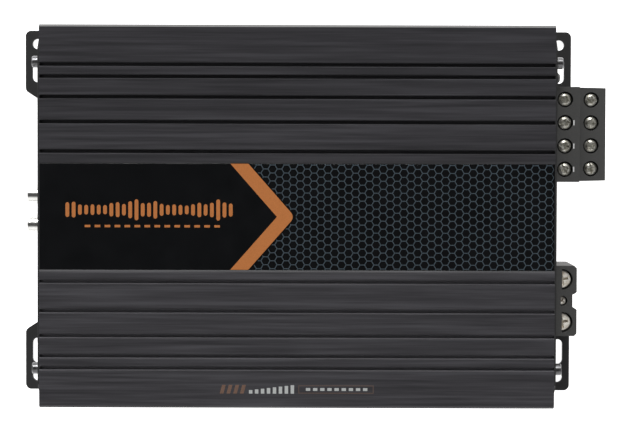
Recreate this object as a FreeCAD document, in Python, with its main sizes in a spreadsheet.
import FreeCAD, Part
import math
import operator
import os
from types import SimpleNamespace

import Sketcher

# A four-channel car amplifier: an extruded, finned case closed by two end plates and a
# bottom cover with four mounting ears. Signal jacks and controls are at the -X end, the
# loudspeaker and power terminals at the +X end. Lengths are millimetres. The origin is
# the middle of the footprint, on the plane that the amplifier rests on.

DIMENSIONS = {
    # case and covers
    "case_span": 240.0,
    "case_width": 177.0,
    "case_height": 51.0,
    "plate_gauge": 1.0,
    "cover_gauge": 2.0,
    "wall_gauge": 8.0,
    "top_gauge": 6.0,
    "edge_bevel": 1.0,
    "ledge_width": 6.0,
    "ledge_height": 5.0,
    "port_side": 71.5,
    "port_level": 42.5,
    "port_lug": 6.0,
    "foot_port_side": 84.5,
    "foot_port_level": 8.5,
    "groove_a": 30.1,
    "groove_b": 43.7,
    "groove_c": 55.2,
    "groove_d": 64.6,
    "groove_e": 70.15,
    "groove_width": 1.6,
    "groove_depth": 3.5,
    "groove_lip": 0.4,
    "side_groove_first": 14.0,
    "side_groove_pitch": 8.0,
    "side_groove_width": 3.0,
    "side_groove_depth": 4.5,
    "inlay_width": 49.0,
    "inlay_gauge": 1.0,
    "inlay_recess": 1.8,
    "inlay_gap": 0.2,
    "inlay_bevel_width": 1.3,
    "inlay_bevel_depth": 0.75,
    # end plates and mounting ears
    "plate_drop": 1.7,
    "plate_corner_side": 78.0,
    "plate_corner_level": 39.0,
    "ear_reach": 14.35,
    "ear_root": 49.7,
    "ear_tip": 59.0,
    "ear_corner": 2.75,
    "ear_hole_out": 8.5,
    "ear_hole_side": 82.0,
    "ear_slot_side": 69.4,
    "ear_hole_size": 5.0,
    "ear_slot_span": 12.5,
    # fasteners
    "screw_pitch_x": 100.0,
    "thread_radius": 1.5,
    "thread_room": 0.05,
    "head_radius": 2.75,
    "head_height": 2.1,
    "shank_length": 8.0,
    "board_head_height": 2.0,
    "plate_head_height": 3.5,
    "terminal_head_height": 2.7,
    "sink_radius": 3.0,
    # circuit board and what stands on it
    "board_gauge": 1.6,
    "board_span": 235.0,
    "board_width": 160.0,
    "board_screw_side": 77.5,
    "clamp_level": 18.0,
    "clamp_centre": 48.0,
    "clamp_screw_side": 18.0,
    # input jacks
    "jack_side": 1.9,
    "jack_low": 16.0,
    "jack_pitch": 14.0,
    "jack_radius": 4.15,
    "jack_bore": 3.6,
    "jack_room": 1.0,
    "jack_reach": 7.6,
    # controls
    "knob_level": 18.0,
    "knob_radius": 4.0,
    "knob_reach": 4.6,
    "stem_radius": 3.0,
    "slider_travel": 2.0,
    # loudspeaker terminals
    "speaker_side": 38.35,
    "speaker_width": 45.0,
    "speaker_pitch": 11.0,
    "speaker_top": 33.0,
    "speaker_step": 11.0,
    "speaker_reach_high": 13.25,
    "speaker_reach_low": 27.6,
    "speaker_base": 9.0,
    "speaker_taper": 0.3,
    "speaker_well": 3.7,
    "speaker_screw_high": 6.4,
    "speaker_screw_low": 20.7,
    "speaker_screw_sink": 1.9,
    "speaker_head_radius": 3.0,
    "speaker_head_height": 1.6,
    "speaker_thread": 2.0,
    "speaker_shank": 4.5,
    # power terminals
    "power_side": -40.5,
    "power_width": 33.4,
    "power_top": 33.0,
    "power_base": 10.5,
    "power_reach": 12.4,
    "power_reach_middle": 10.4,
    "power_middle_width": 6.2,
    "power_pitch": 20.3,
    "power_screw": 5.6,
    "power_screw_sink": 1.6,
    "power_lip": 5.4,
    "remote_lip": 4.8,
    "power_lip_gauge": 1.5,
    "power_well": 4.9,
    "remote_well": 2.4,
    # fuses
    "fuse_side": -4.0,
    "fuse_pitch": 12.0,
    "fuse_level": 20.0,
    "fuse_reach": 3.0,
}

document = FreeCAD.newDocument("car_amplifier")
ORIGIN = FreeCAD.Vector(0, 0, 0)
X_AXIS = FreeCAD.Vector(1, 0, 0)
Y_AXIS = FreeCAD.Vector(0, 1, 0)
Z_AXIS = FreeCAD.Vector(0, 0, 1)

# Rotations that turn a piece drawn along +Z so that it faces another way.
FACING = {
    "+x": FreeCAD.Rotation(Y_AXIS, 90),
    "-x": FreeCAD.Rotation(Y_AXIS, -90),
    "+y": FreeCAD.Rotation(X_AXIS, -90),
    "-y": FreeCAD.Rotation(X_AXIS, 90),
    "+z": FreeCAD.Rotation(),
    "-z": FreeCAD.Rotation(X_AXIS, 180),
}

OPERATIONS = {"+": operator.add, "-": operator.sub, "*": operator.mul, "/": operator.truediv}
pieces = []


class Dim:
    """A length together with the sheet expression that gives it."""

    def __init__(self, value, text):
        self.value = value
        self.text = text

    def __add__(self, other):
        return combine(self, "+", other)

    def __radd__(self, other):
        return combine(other, "+", self)

    def __sub__(self, other):
        return combine(self, "-", other)

    def __rsub__(self, other):
        return combine(other, "-", self)

    def __mul__(self, other):
        return combine(self, "*", other)

    def __rmul__(self, other):
        return combine(other, "*", self)

    def __truediv__(self, other):
        return combine(self, "/", other)

    def __neg__(self):
        return combine(0, "-", self)


def as_dim(amount):
    if isinstance(amount, Dim):
        return amount
    return Dim(float(amount), "({})".format(float(amount)))


def combine(left, sign, right):
    left, right = as_dim(left), as_dim(right)
    value = OPERATIONS[sign](left.value, right.value)
    return Dim(value, "({} {} {})".format(left.text, sign, right.text))


def make_sheet():
    """Writes the driving dimensions and returns one Dim for each, by name."""
    sheet = document.addObject("Spreadsheet::Sheet", "Dims")
    dims = SimpleNamespace()
    for row, (name, value) in enumerate(DIMENSIONS.items(), start=1):
        sheet.set("A{}".format(row), name)
        sheet.set("B{}".format(row), str(value))
        sheet.setAlias("B{}".format(row), name)
        setattr(dims, name, Dim(value, "Dims." + name))
    document.recompute()
    return dims


# ---------------------------------------------------------------- building blocks


def bind(thing, name, amount):
    thing.setExpression(name, as_dim(amount).text)


def place(thing, x, y, z, facing="+z"):
    """Puts a piece at a point, turned to face one of the six directions."""
    thing.Placement = FreeCAD.Placement(ORIGIN, FACING[facing])
    for axis, amount in (("x", x), ("y", y), ("z", z)):
        bind(thing, "Placement.Base." + axis, amount)
    return thing


def keep(thing):
    """Lists a finished sub-part for export."""
    pieces.append(thing)
    return thing


def box(name, x, y, z):
    """A block between a low and a high value on each axis."""
    block = document.addObject("Part::Box", name)
    for side, (low, high) in zip(("Length", "Width", "Height"), (x, y, z)):
        bind(block, side, as_dim(high) - low)
    return place(block, x[0], y[0], z[0])


def around(centre, width):
    """The low and high value of a width centred on a value."""
    half = as_dim(width) / 2
    return (centre - half, centre + half)


def cylinder(name, radius, length, x, y, z, facing="+z"):
    """A round bar that starts at a point and runs the way it faces."""
    bar = document.addObject("Part::Cylinder", name)
    bind(bar, "Radius", radius)
    bind(bar, "Height", length)
    return place(bar, x, y, z, facing)


def fuse(name, things):
    joined = document.addObject("Part::MultiFuse", name)
    joined.Shapes = things
    return joined


def cut(name, base, tools):
    result = document.addObject("Part::Cut", name)
    result.Base = base
    result.Tool = tools[0] if len(tools) == 1 else fuse(name + "_tools", tools)
    return result


def group(name, things):
    """Separate solids kept together as one sub-part."""
    bundle = document.addObject("Part::Compound", name)
    bundle.Links = things
    return bundle


def copies(name, pattern, places):
    """Repeats one piece at several places: each is (x, y, z, facing)."""
    links = []
    for number, spot in enumerate(places, start=1):
        link = document.addObject("App::Link", "{}_{}".format(name, number))
        link.LinkedObject = pattern
        links.append(place(link, *spot))
    return group(name, links)


def sketch_on(body, name, plane, offset=0):
    """An empty sketch on an origin plane of the body, moved along the plane's normal."""
    sketch = body.newObject("Sketcher::SketchObject", name)
    features = body.Origin.OriginFeatures
    support = [item for item in features if item.Role == plane + "_Plane"][0]
    sketch.AttachmentSupport = [(support, "")]
    sketch.MapMode = "FlatFace"
    bind(sketch, "AttachmentOffset.Base.z", offset)
    return sketch


def hold(sketch, curve, point, direction, amount):
    """Fixes one coordinate of a sketch point from the sketch's origin."""
    amount = as_dim(amount)
    axis = -2 if direction == "DistanceX" else -1
    if abs(amount.value) < 1e-9:
        sketch.addConstraint(Sketcher.Constraint("PointOnObject", curve, point, axis))
        return
    ends = (-1, 1, curve, point) if amount.value > 0 else (curve, point, -1, 1)
    size = amount if amount.value > 0 else -amount
    index = sketch.addConstraint(Sketcher.Constraint(direction, *ends, size.value))
    sketch.setExpression("Constraints[{}]".format(index), size.text)


def draw_outline(sketch, points):
    """A closed outline of straight edges through points given as (across, up)."""
    points = [(as_dim(across), as_dim(up)) for across, up in points]
    corners = [FreeCAD.Vector(across.value, up.value, 0) for across, up in points]
    lines = []
    for start, end in zip(corners, corners[1:] + corners[:1]):
        lines.append(sketch.addGeometry(Part.LineSegment(start, end)))
    for line, following in zip(lines, lines[1:] + lines[:1]):
        sketch.addConstraint(Sketcher.Constraint("Coincident", line, 2, following, 1))
    for line, (across, up) in zip(lines, points):
        hold(sketch, line, 1, "DistanceX", across)
        hold(sketch, line, 1, "DistanceY", up)


def draw_rectangle(sketch, across, up):
    low_across, high_across = across
    low_up, high_up = up
    draw_outline(sketch, [(low_across, low_up), (high_across, low_up),
                          (high_across, high_up), (low_across, high_up)])


def draw_circle(sketch, across, up, radius):
    across, up, radius = as_dim(across), as_dim(up), as_dim(radius)
    centre = FreeCAD.Vector(across.value, up.value, 0)
    curve = sketch.addGeometry(Part.Circle(centre, Z_AXIS, radius.value))
    index = sketch.addConstraint(Sketcher.Constraint("Radius", curve, radius.value))
    sketch.setExpression("Constraints[{}]".format(index), radius.text)
    hold(sketch, curve, 3, "DistanceX", across)
    hold(sketch, curve, 3, "DistanceY", up)


def pad(body, name, sketch, length, both_ways=False):
    feature = body.newObject("PartDesign::Pad", name)
    feature.Profile = sketch
    feature.Midplane = both_ways
    bind(feature, "Length", length)
    return feature


def pocket(body, name, sketch, depth=None, both_ways=False, reverse=False):
    """Cuts a sketch into the body, right through when no depth is given."""
    feature = body.newObject("PartDesign::Pocket", name)
    feature.Profile = sketch
    feature.Midplane = both_ways
    feature.Reversed = reverse
    if depth is None:
        feature.Type = "ThroughAll"
    else:
        bind(feature, "Length", depth)
    return feature


def turned_body(name, outline, angle=360):
    """A body turned about its own Z axis from an outline of (radius, height) points."""
    body = document.addObject("PartDesign::Body", name)
    sketch = sketch_on(body, name + "_profile", "XZ")
    draw_outline(sketch, outline)
    turning = body.newObject("PartDesign::Revolution", name + "_turning")
    turning.Profile = sketch
    turning.ReferenceAxis = (sketch, ["V_Axis"])
    turning.Angle = angle
    return body


def draw_turned(sketch, corners, turn):
    """A closed outline turned about the sketch's origin by an angle in degrees."""
    cosine = math.cos(math.radians(turn))
    sine = math.sin(math.radians(turn))
    draw_outline(sketch, [(across * cosine - up * sine, across * sine + up * cosine)
                          for across, up in corners])


def cross_recess(body, name, top, arm, width, depth, turn=0):
    """A cross-shaped driver recess in the top of a screw."""
    sketch = sketch_on(body, name, "XY", top)
    tip = as_dim(arm) / 2
    half = as_dim(width) / 2
    corners = [(half, half), (half, tip), (-half, tip), (-half, half), (-tip, half), (-tip, -half)]
    corners += [(-half, -half), (-half, -tip), (half, -tip), (half, -half), (tip, -half), (tip, half)]
    draw_turned(sketch, corners, turn)
    pocket(body, name + "_cut", sketch, depth)


def driver_slot(body, name, top, length, width, depth, turn):
    """A straight driver slot across the top of a screw."""
    sketch = sketch_on(body, name, "XY", top)
    reach = as_dim(length) / 2
    half = as_dim(width) / 2
    draw_turned(sketch, [(-reach, -half), (reach, -half), (reach, half), (-reach, half)], turn)
    pocket(body, name + "_cut", sketch, depth)


def headed_body(name, head_radius, head_height, shank_radius, shank_length, rim, crown):
    """A screw without a recess: rim and crown are shares of the head's height and radius."""
    tip = -as_dim(shank_length)
    return turned_body(name, [
        (0, tip), (shank_radius, tip), (shank_radius, 0), (head_radius, 0), (head_radius, head_height * rim),
        (head_radius * crown, head_height), (0, head_height)])


def pan_screw(name, head_height, shank_length, rim=0.6, crown=0.62):
    """An M3 screw with a cross recess, whose head sits on its own XY plane."""
    body = headed_body(name, d.head_radius, head_height, d.thread_radius, shank_length, rim, crown)
    cross_recess(body, name + "_recess", head_height, d.head_radius * 1.2, 0.7, head_height * 0.5)
    return body


# ---------------------------------------------------------------- shared places

d = make_sheet()
end_face = d.case_span / 2
plate_inside = end_face - d.plate_gauge
side_face = d.case_width / 2
wall_inside = side_face - d.wall_gauge
ceiling = d.case_height - d.top_gauge
ledge_inside = wall_inside - d.ledge_width
board_bottom = d.cover_gauge + d.ledge_height
board_top = board_bottom + d.board_gauge
hole_radius = d.thread_radius + d.thread_room
cover_screw_rows = (-d.screw_pitch_x, as_dim(0), d.screw_pitch_x)
ear_hole_x = end_face + d.ear_hole_out
clamp_screw_xs = [side * d.clamp_centre + step * d.clamp_screw_side for side in (-1, 1) for step in (-1, 1)]
jack_places = [(d.jack_side + step * d.jack_pitch / 2, level) for level in
               (d.jack_low, d.jack_low + d.jack_pitch) for step in (-1, 1)]
jack_middle = d.jack_low + d.jack_pitch / 2
knob_sides = {"front_level_knob": 66.0, "highpass_knob": 48.0, "lowpass_knob": -44.0,
              "bass_boost_knob": -57.0, "rear_level_knob": -70.0}
slider_sides = {"front_filter_slider": 31.0, "rear_filter_slider": -27.0}
led_sides = {"power_led": -10.0, "protect_led": 2.0}
led_level = 36.0
terminal_screw_places = [(64.8, 38.0), (11.0, 14.0), (-20.5, 13.0), (-61.0, 13.0)]


# ---------------------------------------------------------------- case and covers


def make_case():
    """The extruded case: finned top and sides, screw ports and board ledges."""
    body = document.addObject("PartDesign::Body", "heatsink_case")
    profile = sketch_on(body, "case_profile", "YZ")
    lug_low = d.port_level - d.port_lug / 2 - 0.5
    half = [(d.port_side - d.port_lug / 2, ceiling), (d.port_side - d.port_lug / 2, lug_low)]
    half += [(d.port_side + d.port_lug / 2, lug_low), (d.port_side + d.port_lug / 2, ceiling)]
    half += [(wall_inside, ceiling), (wall_inside, board_bottom), (ledge_inside, board_bottom)]
    half += [(ledge_inside, d.cover_gauge), (side_face, d.cover_gauge)]
    half += [(side_face, d.case_height - d.edge_bevel), (side_face - d.edge_bevel, d.case_height)]
    other_half = [(-across, up) for across, up in reversed(half)]
    draw_outline(profile, half + other_half)
    pad(body, "case_extrusion", profile, plate_inside * 2, both_ways=True)

    grooves = sketch_on(body, "case_grooves", "YZ")
    reach = d.groove_width / 2
    lip = reach + d.groove_lip
    top = d.case_height
    half_groove = [(lip, top + 1), (lip, top), (reach, top - d.groove_lip), (reach, top - d.groove_depth)]
    for middle in (d.groove_a, d.groove_b, d.groove_c, d.groove_d, d.groove_e):
        left = [(middle - across, up) for across, up in half_groove]
        right = [(middle + across, up) for across, up in reversed(half_groove)]
        draw_outline(grooves, left + right)
    for step in range(4):
        level = d.side_groove_first + step * d.side_groove_pitch
        draw_rectangle(grooves, (side_face - d.side_groove_depth, side_face + 1),
                       around(level, d.side_groove_width))
    draw_circle(grooves, d.port_side, d.port_level, hole_radius)
    draw_circle(grooves, d.foot_port_side, d.foot_port_level, hole_radius)
    groove_cut = pocket(body, "case_groove_cut", grooves, both_ways=True)
    mirrored = body.newObject("PartDesign::Mirrored", "case_other_side")
    mirrored.Originals = [groove_cut]
    mirrored.MirrorPlane = ([item for item in body.Origin.OriginFeatures if item.Role == "XZ_Plane"][0], [""])
    body.Tip = mirrored

    recess = sketch_on(body, "inlay_recess_profile", "YZ")
    wall = d.inlay_width / 2 + d.inlay_gap
    rim = wall + d.inlay_bevel_width
    half = [(wall, d.case_height - d.inlay_recess), (wall, d.case_height - d.inlay_bevel_depth),
            (rim, d.case_height), (rim, d.case_height + 1)]
    draw_outline(recess, half + [(-across, up) for across, up in reversed(half)])
    pocket(body, "inlay_recess_cut", recess, both_ways=True)

    cover_holes = sketch_on(body, "case_cover_holes", "XY", d.cover_gauge)
    board_holes = sketch_on(body, "case_board_holes", "XY", board_bottom)
    for row in cover_screw_rows:
        for side in (-1, 1):
            draw_circle(cover_holes, row, side * d.foot_port_side, hole_radius)
            draw_circle(board_holes, row, side * d.board_screw_side, hole_radius)
    pocket(body, "case_cover_hole_cut", cover_holes, 4.5, reverse=True)
    pocket(body, "case_board_hole_cut", board_holes, 4.0)

    clamp_holes = sketch_on(body, "case_clamp_holes", "XZ", wall_inside + 5)
    for row in clamp_screw_xs:
        draw_circle(clamp_holes, row, d.clamp_level, hole_radius)
    pocket(body, "case_clamp_hole_cut", clamp_holes, 2 * (wall_inside + 5))
    return keep(body)


def make_bottom_cover():
    """The base plate, with an ear at each corner for the mounting screws."""
    body = document.addObject("PartDesign::Body", "bottom_cover")
    outline = sketch_on(body, "cover_outline", "XY")
    tip = end_face + d.ear_reach
    corner = [(end_face, d.ear_root), (tip, d.ear_tip), (tip, side_face)]
    points = corner + [(-across, up) for across, up in reversed(corner)]
    points += [(-across, -up) for across, up in corner]
    points += [(across, -up) for across, up in reversed(corner)]
    draw_outline(outline, points)
    plate = pad(body, "cover_plate", outline, d.cover_gauge)
    document.recompute()

    corners = body.newObject("PartDesign::Fillet", "ear_corners")
    outer = upright_edges(plate.Shape, tip.value, side_face.value)
    inner = upright_edges(plate.Shape, tip.value, d.ear_tip.value)
    corners.Base = (plate, outer + inner)
    bind(corners, "Radius", d.ear_corner)

    holes = sketch_on(body, "ear_holes", "XY", d.cover_gauge)
    slot_side = d.ear_slot_side
    for end in (-1, 1):
        for side in (-1, 1):
            draw_circle(holes, end * ear_hole_x, side * d.ear_hole_side, d.ear_hole_size / 2)
            draw_slot(holes, end * ear_hole_x, side * slot_side, d.ear_hole_size, d.ear_slot_span)
    pocket(body, "ear_hole_cut", holes)

    centres = sketch_on(body, "cover_screw_centres", "XY")
    for row in cover_screw_rows:
        for side in (-1, 1):
            draw_circle(centres, row, side * d.foot_port_side, hole_radius)
    document.recompute()
    sunk = body.newObject("PartDesign::Hole", "cover_screw_holes")
    sunk.Profile = centres
    sunk.Reversed = True
    sunk.DepthType = "ThroughAll"
    bind(sunk, "Diameter", 2 * hole_radius)
    sunk.HoleCutType = "Countersink"
    sunk.HoleCutCountersinkAngle = 90
    bind(sunk, "HoleCutDiameter", 2 * d.sink_radius + 0.4)
    return keep(body)


def draw_slot(sketch, across, up, width, span):
    """A round-ended slot that runs up the sketch."""
    across, up, radius = as_dim(across), as_dim(up), as_dim(width) / 2
    half = (as_dim(span) - width) / 2
    low = FreeCAD.Vector(across.value, (up - half).value, 0)
    high = FreeCAD.Vector(across.value, (up + half).value, 0)
    shift = FreeCAD.Vector(radius.value, 0, 0)
    rise = FreeCAD.Vector(0, radius.value, 0)
    top_arc = sketch.addGeometry(Part.Arc(high + shift, high + rise, high - shift))
    left = sketch.addGeometry(Part.LineSegment(high - shift, low - shift))
    bottom_arc = sketch.addGeometry(Part.Arc(low - shift, low - rise, low + shift))
    right = sketch.addGeometry(Part.LineSegment(low + shift, high + shift))
    joints = [(top_arc, 2, left, 1), (left, 2, bottom_arc, 1),
              (bottom_arc, 2, right, 1), (right, 2, top_arc, 1)]
    for joint in joints:
        sketch.addConstraint(Sketcher.Constraint("Tangent", *joint))
    index = sketch.addConstraint(Sketcher.Constraint("Radius", top_arc, radius.value))
    sketch.setExpression("Constraints[{}]".format(index), radius.text)
    hold(sketch, top_arc, 3, "DistanceX", across)
    hold(sketch, top_arc, 3, "DistanceY", up + half)
    hold(sketch, bottom_arc, 3, "DistanceX", across)
    hold(sketch, bottom_arc, 3, "DistanceY", up - half)


def upright_edges(shape, x, y):
    """Names of the upright edges at the four points (+-x, +-y)."""
    names = []
    for number, edge in enumerate(shape.Edges, start=1):
        middle = edge.CenterOfMass
        upright = abs(edge.tangentAt(edge.FirstParameter).z) > 0.99
        if upright and abs(abs(middle.x) - x) < 0.01 and abs(abs(middle.y) - y) < 0.01:
            names.append("Edge{}".format(number))
    return names


def end_plate(name, end, draw_openings):
    """A sheet end plate with cut top corners; draw_openings adds its own cut-outs."""
    body = document.addObject("PartDesign::Body", name)
    outline = sketch_on(body, name + "_outline", "YZ")
    top = d.case_height - d.plate_drop
    half = [(side_face, d.cover_gauge), (side_face, d.plate_corner_level), (d.plate_corner_side, top)]
    draw_outline(outline, half + [(-across, up) for across, up in reversed(half)])
    pad(body, name + "_sheet", outline, d.plate_gauge)
    openings = sketch_on(body, name + "_openings", "YZ", d.plate_gauge)
    for side in (-1, 1):
        draw_circle(openings, side * d.port_side, d.port_level, hole_radius)
        draw_circle(openings, side * d.foot_port_side, d.foot_port_level, hole_radius)
    draw_openings(openings)
    pocket(body, name + "_cut", openings)
    start = -end_face if end < 0 else plate_inside
    return keep(place(body, start, 0, 0))


def input_openings(sketch):
    for side, level in jack_places:
        draw_circle(sketch, side, level, d.jack_radius + d.jack_room)
    draw_circle(sketch, d.jack_side, jack_middle, hole_radius)
    for side in knob_sides.values():
        draw_circle(sketch, side, d.knob_level, d.stem_radius + 0.3)
    for side in slider_sides.values():
        draw_rectangle(sketch, around(as_dim(side), 2 * d.slider_travel + 3.6), around(d.knob_level, 3.6))


def output_openings(sketch):
    draw_rectangle(sketch, around(d.speaker_side, d.speaker_width + 0.4),
                   (d.speaker_base - 0.2, d.speaker_top + 0.2))
    draw_rectangle(sketch, around(d.power_side, d.power_width + 0.4), (d.power_base - 0.2, d.power_top + 0.2))
    draw_rectangle(sketch, around(d.fuse_side, d.fuse_pitch + 6.4), around(d.fuse_level, 20.6))
    for side in led_sides.values():
        draw_circle(sketch, side, led_level, 1.6)
    for side, level in terminal_screw_places:
        draw_circle(sketch, side, level, hole_radius)


def make_inlay():
    floor = d.case_height - d.inlay_recess
    keep(box("top_inlay_panel", (-plate_inside, plate_inside), around(as_dim(0), d.inlay_width),
             (floor, floor + d.inlay_gauge)))


def make_case_screws():
    cheese = pan_screw("plate_screw_pattern", d.plate_head_height, d.shank_length, rim=0.86, crown=0.88)
    places = []
    for end, facing in ((-1, "-x"), (1, "+x")):
        for side in (-1, 1):
            places.append((end * end_face, side * d.port_side, d.port_level, facing))
            places.append((end * end_face, side * d.foot_port_side, d.foot_port_level, facing))
    keep(copies("end_plate_screws", cheese, places))

    sunk_head = d.sink_radius - d.thread_radius
    outline = [(0, -5.8), (d.thread_radius, -5.8), (d.thread_radius, -sunk_head), (d.sink_radius, 0), (0, 0)]
    sunk = turned_body("cover_screw_pattern", outline)
    cross_recess(sunk, "cover_screw_recess", 0, 3.2, 0.7, 1)
    places = [(row, side * d.foot_port_side, 0.1, "-z") for row in cover_screw_rows for side in (-1, 1)]
    keep(copies("bottom_cover_screws", sunk, places))


# ---------------------------------------------------------------- signal end


def make_input_jacks():
    """A two-by-two block of phono jacks behind the input plate."""
    back = -plate_inside
    block = box("jack_block", (back, back + 12.8), around(d.jack_side, 29), (board_top, jack_middle + 15))
    bores = [cylinder("jack_block_bore_{}".format(number), 2.35, 12.8, back, side, level, "+x")
             for number, (side, level) in enumerate(jack_places, start=1)]
    bores.append(cylinder("jack_block_screw_bore", hole_radius, 9, back, d.jack_side, jack_middle, "+x"))
    keep(cut("rca_housing", block, bores))

    length = d.jack_reach + d.plate_gauge
    shell = turned_body("jack_shell_pattern", [
        (d.jack_bore, 0), (d.jack_radius, 0), (d.jack_radius, length - 0.3),
        (d.jack_radius - 0.2, length), (d.jack_bore, length)])
    liner_radius = d.jack_bore - 0.03
    liner = turned_body("jack_insulator_pattern", [
        (2.35, 0), (liner_radius, 0), (liner_radius, length - 1), (2, length - 1), (2, length - 2),
        (2.35, length - 2)])
    contact = turned_body("jack_contact_pattern", [
        (1.65, -9), (2.3, -9), (2.3, length - 2.1), (1.65, length - 2.1)])
    spots = [(back, side, level, "-x") for side, level in jack_places]
    keep(copies("rca_shells", shell, spots))
    keep(copies("rca_insulators_white", liner, spots[0::2]))
    keep(copies("rca_insulators_red", liner, spots[1::2]))
    keep(copies("rca_center_contacts", contact, spots))
    screw = pan_screw("jack_screw_pattern", d.head_height, d.shank_length)
    keep(copies("rca_block_screw", screw, [(-end_face, d.jack_side, jack_middle, "-x")]))


def make_knob(name, side):
    """A fluted knob on its stem, with a driver slot across its face."""
    stem_end = d.plate_gauge + 10
    cap = 0.6
    body = turned_body(name, [
        (0, -stem_end), (d.stem_radius, -stem_end), (d.stem_radius, cap), (d.knob_radius, cap),
        (d.knob_radius, d.knob_reach - 0.5), (d.knob_radius - 0.5, d.knob_reach), (0, d.knob_reach)])
    slot = sketch_on(body, name + "_slot", "XY", d.knob_reach)
    draw_rectangle(slot, around(as_dim(0), 1), (-d.knob_radius + 1, d.knob_radius - 0.2))
    pocket(body, name + "_slot_cut", slot, 1)
    flute = sketch_on(body, name + "_flute", "XY", d.knob_reach)
    draw_circle(flute, d.knob_radius + 0.15, 0, 0.5)
    flute_cut = pocket(body, name + "_flute_cut", flute, d.knob_reach - cap)
    ring = body.newObject("PartDesign::PolarPattern", name + "_flutes")
    ring.Originals = [flute_cut]
    ring.Axis = (flute, ["N_Axis"])
    ring.Angle = 360
    ring.Occurrences = 12
    body.Tip = ring
    keep(place(body, -end_face, side, d.knob_level, "-x"))


def make_potentiometers():
    front = -plate_inside + 3
    bodies = []
    for number, side in enumerate(knob_sides.values(), start=1):
        block = box("potentiometer_block_{}".format(number), (front, front + 9.5), around(as_dim(side), 10.5),
                    (board_top, d.knob_level + 7))
        bore = cylinder("potentiometer_bore_{}".format(number), d.stem_radius + 0.06, 7.2, front, side,
                        d.knob_level, "+x")
        bodies.append(cut("potentiometer_{}".format(number), block, [bore]))
    keep(group("potentiometer_bodies", bodies))


def make_filter_switches():
    back = -plate_inside
    bodies = []
    for number, side in enumerate(slider_sides.values(), start=1):
        block = box("switch_block_{}".format(number), (back, back + 7), around(as_dim(side), 13),
                    (board_top, d.knob_level + 4))
        track = box("switch_track_{}".format(number), (back, back + 3.2),
                    around(as_dim(side), 2 * d.slider_travel + 3.4), around(d.knob_level, 3.4))
        bodies.append(cut("switch_{}".format(number), block, [track]))
    keep(group("slide_switch_bodies", bodies))
    for name, side in slider_sides.items():
        lever = box(name + "_lever", (-end_face - 2.4, back + 3), around(as_dim(side), 3),
                    around(d.knob_level, 3))
        grip = [box("{}_grip_{}".format(name, step), (-end_face - 2.5, -end_face - 1.9),
                    around(as_dim(side) + step, 0.4), around(d.knob_level, 4)) for step in (-0.8, 0, 0.8)]
        keep(cut(name, lever, grip))


def make_leds():
    for name, side in led_sides.items():
        dome = turned_body(name, [
            (0, -4), (1.9, -4), (1.9, -3.1), (1.5, -3), (1.5, 0.3), (1.2, 1), (0.6, 1.4), (0, 1.5)])
        keep(place(dome, end_face, side, led_level, "+x"))


# ---------------------------------------------------------------- loudspeaker terminals

SPEAKER_SLEEVE = SimpleNamespace(
    width=7.0, high=-4.4, low=-12.0, hole_width=5.0, hole_high=-6.4, hole_low=-11.2)


def speaker_rows():
    """Top level, front face and screw place of the upper and the lower row."""
    high = SimpleNamespace(top=d.speaker_top, front=end_face + d.speaker_reach_high,
                           screw=end_face + d.speaker_screw_high)
    low = SimpleNamespace(top=d.speaker_top - d.speaker_step, front=end_face + d.speaker_reach_low,
                          screw=end_face + d.speaker_screw_low)
    return [high, low]


def speaker_offsets():
    """Places of the four terminals of a row, from the middle of the block."""
    return [(step - 1.5) * d.speaker_pitch for step in range(4)]


def make_speaker_housing():
    body = document.addObject("PartDesign::Body", "speaker_terminal_housing")
    high, low = speaker_rows()
    steps = sketch_on(body, "speaker_steps", "XZ")
    back = plate_inside - 2
    draw_outline(steps, [(back, d.speaker_base), (low.front, d.speaker_base), (low.front, low.top),
                         (high.front, low.top), (high.front, high.top), (back, high.top)])
    pad(body, "speaker_block", steps, d.speaker_width, both_ways=True)
    flange = sketch_on(body, "speaker_flange", "YZ", plate_inside)
    draw_rectangle(flange, (-30, 30), (board_top, d.speaker_top + 9))
    flange_pad = pad(body, "speaker_flange_pad", flange, 9)
    flange_pad.Reversed = True

    taper = sketch_on(body, "speaker_taper_outline", "XY", low.top)
    half = d.speaker_width / 2
    narrow = half - d.speaker_taper
    beyond = low.front + 1
    for side in (-1, 1):
        draw_outline(taper, [(high.front, side * half), (low.front, side * narrow), (beyond, side * narrow),
                             (beyond, side * (half + 1)), (high.front, side * (half + 1))])
    pocket(body, "speaker_taper_cut", taper)

    for label, row in (("high", high), ("low", low)):
        wells = sketch_on(body, "speaker_wells_" + label, "XY", row.top)
        entries = sketch_on(body, "speaker_entries_" + label, "YZ", row.front)
        for offset in speaker_offsets():
            draw_circle(wells, row.screw, offset, d.speaker_well)
            draw_rectangle(entries, around(offset, SPEAKER_SLEEVE.width),
                           (row.top + SPEAKER_SLEEVE.low, row.top + SPEAKER_SLEEVE.high))
        pocket(body, "speaker_well_cut_" + label, wells, -SPEAKER_SLEEVE.high)
        pocket(body, "speaker_entry_cut_" + label, entries, 11)

    fixings = sketch_on(body, "speaker_fixings", "YZ", plate_inside)
    for side, level in terminal_screw_places[:2]:
        draw_circle(fixings, side - d.speaker_side, level, hole_radius)
    pocket(body, "speaker_fixing_cut", fixings, 8)
    keep(place(body, 0, d.speaker_side, 0))


def terminal_sleeve(name, x, side, top, sleeve, screw_x, screw_radius):
    """A clamp sleeve: a block with a wire hole along X and a threaded hole from above."""
    block = box(name + "_block", x, around(side, sleeve.width), (top + sleeve.low, top + sleeve.high))
    low_x, high_x = x
    wire_hole = box(name + "_wire_hole", (low_x + 1, high_x + 1), around(side, sleeve.hole_width),
                    (top + sleeve.hole_low, top + sleeve.hole_high))
    thread = cylinder(name + "_thread", screw_radius, sleeve.high - sleeve.hole_high + 1, screw_x, side,
                      top + sleeve.hole_high - 0.5)
    return cut(name, block, [wire_hole, thread])


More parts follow.
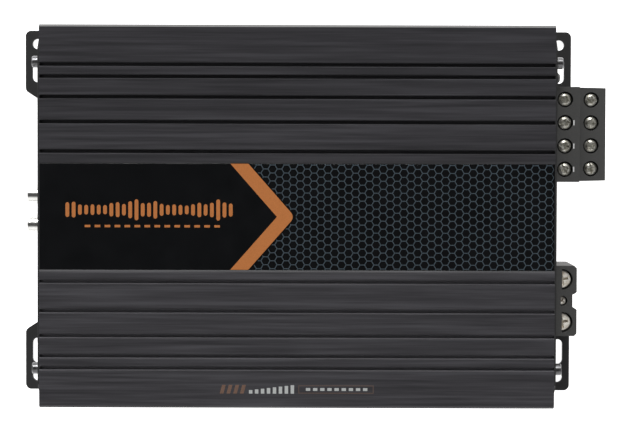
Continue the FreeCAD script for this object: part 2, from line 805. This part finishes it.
def make_speaker_sleeves():
    sleeves = []
    for label, row in zip(("high", "low"), speaker_rows()):
        for number, offset in enumerate(speaker_offsets(), start=1):
            name = "speaker_sleeve_{}_{}".format(label, number)
            reach = (row.front - 11, row.front - 0.8)
            sleeves.append(terminal_sleeve(name, reach, d.speaker_side + offset, row.top, SPEAKER_SLEEVE,
                                           row.screw, d.speaker_thread + d.thread_room))
    keep(group("speaker_terminal_sleeves", sleeves))


def make_speaker_screws():
    """Clamp screws with a slot and a cross recess, each left at its own angle."""
    turns = [118, 175, 12, 160, 100, 125, 70, 172]
    number = 0
    for row in speaker_rows():
        for offset in speaker_offsets():
            name = "speaker_screw_{}".format(number + 1)
            screw = headed_body(name, d.speaker_head_radius, d.speaker_head_height, d.speaker_thread,
                                d.speaker_shank, rim=0.5, crown=0.6)
            driver_slot(screw, name + "_slot", d.speaker_head_height, 2 * d.speaker_head_radius, 0.8, 0.7,
                        turns[number])
            cross_recess(screw, name + "_recess", d.speaker_head_height, 3.6, 1.0, 1.2, turns[number])
            keep(place(screw, row.screw, d.speaker_side + offset, row.top - d.speaker_screw_sink))
            number += 1


def make_terminal_screws():
    screw = pan_screw("terminal_screw_pattern", d.terminal_head_height, d.shank_length)
    places = [(end_face, side, level, "+x") for side, level in terminal_screw_places]
    keep(copies("terminal_block_screws", screw, places))


# ---------------------------------------------------------------- power terminals

POWER_SLEEVE = SimpleNamespace(
    width=11.0, high=-5.0, low=-18.5, hole_width=9.0, hole_high=-7.5, hole_low=-17.0)
REMOTE_SLEEVE = SimpleNamespace(
    width=5.6, high=-5.0, low=-13.0, hole_width=4.4, hole_high=-7.0, hole_low=-12.0)


def power_terminals():
    """Place across the block, sleeve, well, lip, front face and screw of each terminal."""
    front = end_face + d.power_reach
    middle_front = end_face + d.power_reach_middle
    screw = end_face + d.power_screw
    big = dict(sleeve=POWER_SLEEVE, well=d.power_well, lip=end_face + d.power_lip, front=front, screw=screw,
               thread=4.2, turn=9)
    small = dict(sleeve=REMOTE_SLEEVE, well=d.remote_well, lip=end_face + d.remote_lip, front=middle_front,
                 screw=screw, thread=2.0, turn=50)
    return {
        "battery": SimpleNamespace(side=d.power_pitch / 2, **big),
        "remote": SimpleNamespace(side=as_dim(0), **small),
        "ground": SimpleNamespace(side=-d.power_pitch / 2, **big),
    }


def draw_half_well(sketch, across, up, radius, straight):
    """A round well cut off by a straight side at a lower value across."""
    across, up, radius, straight = as_dim(across), as_dim(up), as_dim(radius), as_dim(straight)
    rise = (radius.value ** 2 - (across.value - straight.value) ** 2) ** 0.5
    low = FreeCAD.Vector(straight.value, up.value - rise, 0)
    high = FreeCAD.Vector(straight.value, up.value + rise, 0)
    far = FreeCAD.Vector(across.value + radius.value, up.value, 0)
    arc = sketch.addGeometry(Part.Arc(low, far, high))
    line = sketch.addGeometry(Part.LineSegment(high, low))
    sketch.addConstraint(Sketcher.Constraint("Coincident", arc, 2, line, 1))
    sketch.addConstraint(Sketcher.Constraint("Coincident", line, 2, arc, 1))
    index = sketch.addConstraint(Sketcher.Constraint("Radius", arc, radius.value))
    sketch.setExpression("Constraints[{}]".format(index), radius.text)
    hold(sketch, arc, 3, "DistanceX", across)
    hold(sketch, arc, 3, "DistanceY", up)
    hold(sketch, line, 1, "DistanceX", straight)
    sketch.addConstraint(Sketcher.Constraint("Vertical", line))


def make_power_housing():
    body = document.addObject("PartDesign::Body", "power_terminal_housing")
    front = end_face + d.power_reach
    middle_front = end_face + d.power_reach_middle
    half = d.power_width / 2
    notch = d.power_middle_width / 2
    bevel = 1.2
    outline = sketch_on(body, "power_outline", "XY", d.power_base)
    upper = [(middle_front, notch), (middle_front + 0.5, notch), (front, notch + 1), (front, half - bevel),
             (front - bevel, half), (plate_inside - 2, half)]
    draw_outline(outline, upper + [(across, -up) for across, up in reversed(upper)])
    pad(body, "power_block", outline, d.power_top - d.power_base)
    flange = sketch_on(body, "power_flange", "YZ", plate_inside)
    draw_rectangle(flange, (-23.5, 23.5), (board_top, d.power_top + 3))
    flange_pad = pad(body, "power_flange_pad", flange, 9)
    flange_pad.Reversed = True

    mouths = sketch_on(body, "power_well_mouths", "XY", d.power_top)
    wells = sketch_on(body, "power_wells", "XY", d.power_top - d.power_lip_gauge)
    for terminal in power_terminals().values():
        draw_half_well(mouths, terminal.screw, terminal.side, terminal.well, terminal.lip)
        draw_circle(wells, terminal.screw, terminal.side, terminal.well)
    pocket(body, "power_mouth_cut", mouths, d.power_lip_gauge)
    pocket(body, "power_well_cut", wells, -POWER_SLEEVE.high - d.power_lip_gauge)
    for name, terminal in power_terminals().items():
        entry = sketch_on(body, name + "_entry", "YZ", terminal.front)
        draw_rectangle(entry, around(terminal.side, terminal.sleeve.width),
                       (d.power_top + terminal.sleeve.low, d.power_top + terminal.sleeve.high))
        pocket(body, name + "_entry_cut", entry, 11.8)
    fixings = sketch_on(body, "power_fixings", "YZ", plate_inside)
    for side, level in terminal_screw_places[2:]:
        draw_circle(fixings, side - d.power_side, level, hole_radius)
    pocket(body, "power_fixing_cut", fixings, 8)
    keep(place(body, 0, d.power_side, 0))


def make_power_sleeves():
    sleeves = []
    for name, terminal in power_terminals().items():
        reach = (terminal.front - 11.8, terminal.front - 1)
        sleeves.append(terminal_sleeve(name + "_sleeve", reach, d.power_side + terminal.side, d.power_top,
                                       terminal.sleeve, terminal.screw, terminal.thread + d.thread_room))
    keep(group("power_terminal_sleeves", sleeves))


def make_power_screws():
    """Headless clamp screws, held in by the lip over their wells."""
    bevel = 0.4
    for name, terminal in power_terminals().items():
        radius = terminal.thread
        length = -terminal.sleeve.hole_high - d.power_screw_sink
        screw = turned_body(name + "_screw", [
            (0, 0), (radius - bevel, 0), (radius, bevel), (radius, length - bevel), (radius - bevel, length),
            (0, length)])
        cross_recess(screw, name + "_screw_recess", length, radius * 1.4, radius * 0.3, 1.6, terminal.turn)
        foot = d.power_top - d.power_screw_sink - length
        keep(place(screw, terminal.screw, d.power_side + terminal.side, foot))


# ---------------------------------------------------------------- fuses


def fuse_sides():
    return [d.fuse_side - d.fuse_pitch / 2, d.fuse_side + d.fuse_pitch / 2]


def make_fuse_holder():
    back = plate_inside - 16
    block = box("fuse_holder_block", (back, plate_inside), around(d.fuse_side, d.fuse_pitch + 9),
                (board_top, d.fuse_level + 12))
    pockets = []
    for number, side in enumerate(fuse_sides(), start=1):
        pockets.append(box("fuse_pocket_{}".format(number), (end_face - 8.3, end_face), around(side, 5.4),
                           around(d.fuse_level, 19.4)))
        for step in (-1, 1):
            pockets.append(box("blade_pocket_{}_{}".format(number, step + 1), (back + 1, end_face - 8),
                               around(side, 1.1), around(d.fuse_level + step * 6.9, 5.8)))
    keep(cut("fuse_holder", block, pockets))


def make_fuses():
    for number, side in enumerate(fuse_sides(), start=1):
        name = "fuse_{}".format(number)
        head = box(name + "_head", (end_face + 0.3, end_face + d.fuse_reach), around(side, 5),
                   around(d.fuse_level, 19))
        neck = box(name + "_neck", (end_face - 8, end_face + 0.3), around(side, 3.6),
                   around(d.fuse_level, 17.5))
        keep(fuse(name, [head, neck]))
        blades = [box("{}_blade_{}".format(name, step + 1), (end_face - 15, end_face - 8), around(side, 0.7),
                      around(d.fuse_level + step * 6.9, 5.2)) for step in (-1, 1)]
        keep(group(name + "_blades", blades))


# ---------------------------------------------------------------- inside the case


def make_board():
    board = box("board_blank", around(as_dim(0), d.board_span), around(as_dim(0), d.board_width),
                (board_bottom, board_top))
    holes = [cylinder("board_hole_{}_{}".format(number, side + 1), hole_radius, d.board_gauge + 2, row,
                      side * d.board_screw_side, board_bottom - 1)
             for number, row in enumerate(cover_screw_rows) for side in (-1, 1)]
    keep(cut("main_pcb", board, holes))
    screw = pan_screw("board_screw_pattern", d.board_head_height, 5.2)
    places = [(row, side * d.board_screw_side, board_top, "+z")
              for row in cover_screw_rows for side in (-1, 1)]
    keep(copies("pcb_screws", screw, places))


def make_output_stage():
    """Power transistors stood against both walls behind spring bars."""
    pad_gauge = 0.3
    tab_gauge = 1.3
    body_gauge = 3.2
    bar_gauge = 2.1
    foot = d.clamp_level - 4.5
    groups = {"thermal_pads": [], "transistor_tabs": [], "transistor_packages": [], "transistor_leads": []}
    bars = []
    columns = [end * d.clamp_centre + step * 9 for end in (-1, 1) for step in (-3, -1, 1, 3)]
    for side in (-1, 1):
        layers = {}
        face = wall_inside
        for name, gauge in (("thermal_pads", pad_gauge), ("transistor_tabs", tab_gauge),
                            ("transistor_packages", body_gauge), ("clamp_bars", bar_gauge)):
            layers[name] = sorted([side * face, side * (face - gauge)], key=lambda edge: edge.value)
            face = face - gauge
        for number, column in enumerate(columns):
            tail = "{}_{}".format(number, side + 1)
            groups["thermal_pads"].append(box("pad_" + tail, around(column, 13), layers["thermal_pads"],
                                              (foot - 0.5, foot + 16)))
            groups["transistor_tabs"].append(box("tab_" + tail, around(column, 10), layers["transistor_tabs"],
                                                 (foot, foot + 15.5)))
            groups["transistor_packages"].append(box("package_" + tail, around(column, 10),
                                                     layers["transistor_packages"], (foot, foot + 9.2)))
            for lead in (-1, 0, 1):
                groups["transistor_leads"].append(
                    box("lead_{}_{}".format(tail, lead + 1), around(column + 2.5 * lead, 0.8),
                        around(side * d.board_screw_side, 0.5), (board_top, foot)))
        for end in (-1, 1):
            tail = "{}_{}".format(end + 1, side + 1)
            bar = box("bar_blank_" + tail, around(end * d.clamp_centre, 76), layers["clamp_bars"],
                      around(d.clamp_level, 8))
            holes = [cylinder("bar_hole_{}_{}".format(tail, step + 1), hole_radius, bar_gauge + 2,
                              end * d.clamp_centre + step * d.clamp_screw_side,
                              layers["clamp_bars"][0] - 1, d.clamp_level, "+y") for step in (-1, 1)]
            bars.append(cut("bar_" + tail, bar, holes))
    for name, things in groups.items():
        keep(group(name, things))
    keep(group("clamp_bars", bars))

    bar_face = wall_inside - pad_gauge - tab_gauge - body_gauge - bar_gauge
    screw = pan_screw("bar_screw_pattern", d.board_head_height, 10)
    places = [(row, side * bar_face, d.clamp_level, "-y" if side > 0 else "+y")
              for side in (-1, 1) for row in clamp_screw_xs]
    keep(copies("clamp_bar_screws", screw, places))


def wound_ring(name, inner, outer, height, gauge, x, y, arcs):
    """A ring core on the board, with windings that leave gaps around it."""
    seat = board_top + gauge
    core = turned_body(name + "_core", [(inner, 0), (outer, 0), (outer, height), (inner, height)])
    keep(place(core, x, y, seat))
    gap = 0.05
    windings = []
    for number, (start, angle) in enumerate(arcs, start=1):
        winding = turned_body("{}_winding_turn_{}".format(name, number), [
            (inner - gauge, -gauge), (outer + gauge, -gauge), (outer + gauge, height + gauge),
            (inner - gauge, height + gauge)], angle)
        hollow = document.addObject("PartDesign::Body", "{}_hollow_{}".format(name, number))
        ring = sketch_on(hollow, "{}_hollow_profile_{}".format(name, number), "XZ")
        draw_outline(ring, [(inner - gap, -gap), (outer + gap, -gap), (outer + gap, height + gap),
                            (inner - gap, height + gap)])
        turning = hollow.newObject("PartDesign::Revolution", "{}_hollow_turning_{}".format(name, number))
        turning.Profile = ring
        turning.ReferenceAxis = (ring, ["V_Axis"])
        turning.Angle = 360
        part = cut("{}_winding_{}".format(name, number), winding, [hollow])
        part.Placement = FreeCAD.Placement(ORIGIN, FreeCAD.Rotation(Z_AXIS, start))
        bind(part, "Placement.Base.x", x)
        bind(part, "Placement.Base.y", y)
        bind(part, "Placement.Base.z", seat)
        windings.append(part)
    keep(group(name + "_windings", windings))


def make_supply():
    wound_ring("transformer", 10.0, 18.0, 13.0, 2.0, 45.0, -25.0, [(10, 160), (190, 160)])
    wound_ring("input_choke", 5.0, 10.0, 9.0, 1.2, 78.0, -40.0, [(20, 320)])
    places = [(0, -48), (0, -26), (16, 20), (16, 42), (-8, 20), (-8, 42)]
    cans = [cylinder("supply_can_{}".format(number), 9, 30, x, y, board_top)
            for number, (x, y) in enumerate(places, start=1)]
    keep(group("supply_capacitors", cans))


def make_signal_parts():
    chip_places = [(-80, 40), (-80, 5), (-80, -35), (-50, 18), (-50, -18)]
    chips = [box("chip_{}".format(number), around(as_dim(x), 19), around(as_dim(y), 6.5),
                 (board_top, board_top + 4))
             for number, (x, y) in enumerate(chip_places, start=1)]
    keep(group("control_ics", chips))
    cans = [cylinder("small_can_{}".format(number), 3, 11, -95 + 12 * (number % 5), 58 - 116 * (number // 5),
                     board_top) for number in range(10)]
    keep(group("coupling_capacitors", cans))


# ---------------------------------------------------------------- assembly


def check_document():
    """Stops on a failed feature or on a sub-part that is not a sound solid."""
    for thing in document.Objects:
        if "Invalid" in thing.State or "Error" in thing.State:
            raise RuntimeError("{} failed: {}".format(thing.Label, thing.State))
    for piece in pieces:
        if piece.Shape.isNull() or not piece.Shape.isValid() or not piece.Shape.Solids:
            raise RuntimeError("{} has no sound solid".format(piece.Label))


def write_parts():
    os.makedirs("parts", exist_ok=True)
    for piece in pieces:
        piece.Shape.exportStep("parts/{}.step".format(piece.Label))
        solids = len(piece.Shape.Solids)
        print("{:28s} {:3d} solid(s) {:12.1f} mm3".format(piece.Label, solids, piece.Shape.Volume))


make_case()
make_bottom_cover()
end_plate("input_end_plate", -1, input_openings)
end_plate("output_end_plate", 1, output_openings)
make_inlay()
make_case_screws()
make_input_jacks()
for knob_name, knob_side in knob_sides.items():
    make_knob(knob_name, knob_side)
make_potentiometers()
make_filter_switches()
make_leds()
make_speaker_housing()
make_speaker_sleeves()
make_speaker_screws()
make_terminal_screws()
make_power_housing()
make_power_sleeves()
make_power_screws()
make_fuse_holder()
make_fuses()
make_board()
make_output_stage()
make_supply()
make_signal_parts()
document.recompute()
check_document()
write_parts()
